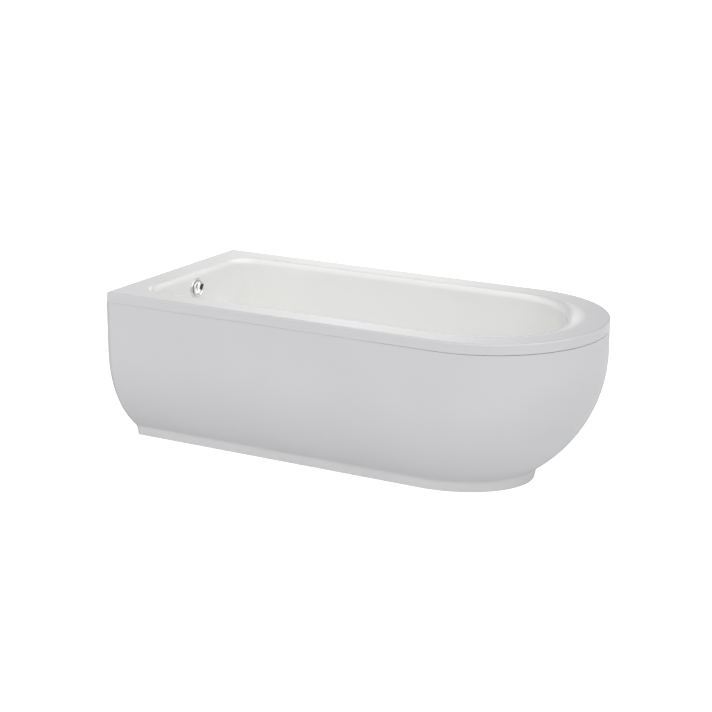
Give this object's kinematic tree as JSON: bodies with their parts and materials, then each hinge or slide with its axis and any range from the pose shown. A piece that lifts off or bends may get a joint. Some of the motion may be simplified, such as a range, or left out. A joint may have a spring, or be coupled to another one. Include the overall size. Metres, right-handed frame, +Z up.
{
  "type": "bathtub",
  "caption": "Back-to-wall bath with one square end and one round end, a flat rim with rolled inner edge and a bowl-shaped outer panel on a set-back plinth.",
  "frame": {"origin": "on the floor, under the middle of the outline of the rim", "axes": "+X towards the round end, -X towards the wall at the square end, +Z up, so the side seen in the picture faces -Y"},
  "size_m": [1.7, 0.8, 0.57],
  "materials": {
    "shell_acrylic": "gloss white acrylic",
    "panel_acrylic": "gloss white acrylic",
    "glassfibre": "rough laid-up glass fibre",
    "board": "raw chipboard",
    "timber": "raw softwood",
    "galvanised_steel": "zinc plated",
    "screw_steel": "zinc plated",
    "chrome": "polished",
    "brass": "turned",
    "seal_rubber": "matt",
    "fitting_plastic": "white moulded plastic",
    "hose_plastic": "grey flexible plastic",
    "cable_plastic": "black sheath",
    "pad_plastic": "black moulded plastic"
  },
  "bodies": {
    "bath": {"base_board": "board", "bath_shell": "shell_acrylic", "cable_clips": "cable_plastic", "foot_nuts_lower": "screw_steel", "foot_nuts_upper": "screw_steel", "glassfibre_backing": "glassfibre", "hose_nuts": "fitting_plastic", "leg_plate": "galvanised_steel", "leg_plate_screws": "screw_steel", "outer_panel": "panel_acrylic", "overflow_body": "fitting_plastic", "overflow_hose": "hose_plastic", "overflow_rosette": "chrome", "overflow_seal": "seal_rubber", "panel_screws": "screw_steel", "plinth_blocks": "timber", "plug_cable": "cable_plastic", "rail_round_end": "galvanised_steel", "rail_screws": "screw_steel", "rail_square_end": "galvanised_steel", "rim_batten_back": "timber", "rim_batten_front": "timber", "rim_batten_round_end": "timber", "rim_batten_square_end": "timber", "wall_bracket_back": "galvanised_steel", "wall_bracket_front": "galvanised_steel", "waste_body": "fitting_plastic", "waste_flange": "chrome", "waste_washer": "seal_rubber"},
    "overflow_control": {"overflow_knob": "chrome", "overflow_cam": "brass"},
    "plug": {"waste_plug": "chrome", "plug_seal": "seal_rubber", "plug_stem": "brass"},
    "foot_1": {"foot_stud_1": "screw_steel", "foot_pad_1": "pad_plastic"},
    "foot_2": {"foot_stud_2": "screw_steel", "foot_pad_2": "pad_plastic"},
    "foot_3": {"foot_stud_3": "screw_steel", "foot_pad_3": "pad_plastic"},
    "foot_4": {"foot_stud_4": "screw_steel", "foot_pad_4": "pad_plastic"},
    "foot_5": {"foot_stud_5": "screw_steel", "foot_pad_5": "pad_plastic"}
  },
  "joints": [
    {"name": "overflow_turn", "type": "hinge", "parent": "bath", "child": "overflow_control", "pos_m": [-0.735, 0, 0.513], "axis": [1, 0, 0], "range_deg": [0, 90]},
    {"name": "plug_lift", "type": "slide", "parent": "bath", "child": "plug", "axis": [0, 0, 1], "range_m": [0, 0.01]},
    {"name": "foot_1_height", "type": "slide", "parent": "bath", "child": "foot_1", "axis": [0, 0, 1], "range_m": [-0.015, 0.004]},
    {"name": "foot_2_height", "type": "slide", "parent": "bath", "child": "foot_2", "axis": [0, 0, 1], "range_m": [-0.015, 0.004]},
    {"name": "foot_3_height", "type": "slide", "parent": "bath", "child": "foot_3", "axis": [0, 0, 1], "range_m": [-0.015, 0.004]},
    {"name": "foot_4_height", "type": "slide", "parent": "bath", "child": "foot_4", "axis": [0, 0, 1], "range_m": [-0.015, 0.004]},
    {"name": "foot_5_height", "type": "slide", "parent": "bath", "child": "foot_5", "axis": [0, 0, 1], "range_m": [-0.015, 0.004]}
  ],
  "couplings": [
    {"joint": "plug_lift", "follows": "overflow_turn", "m_per_rad": 0.0063}
  ]
}
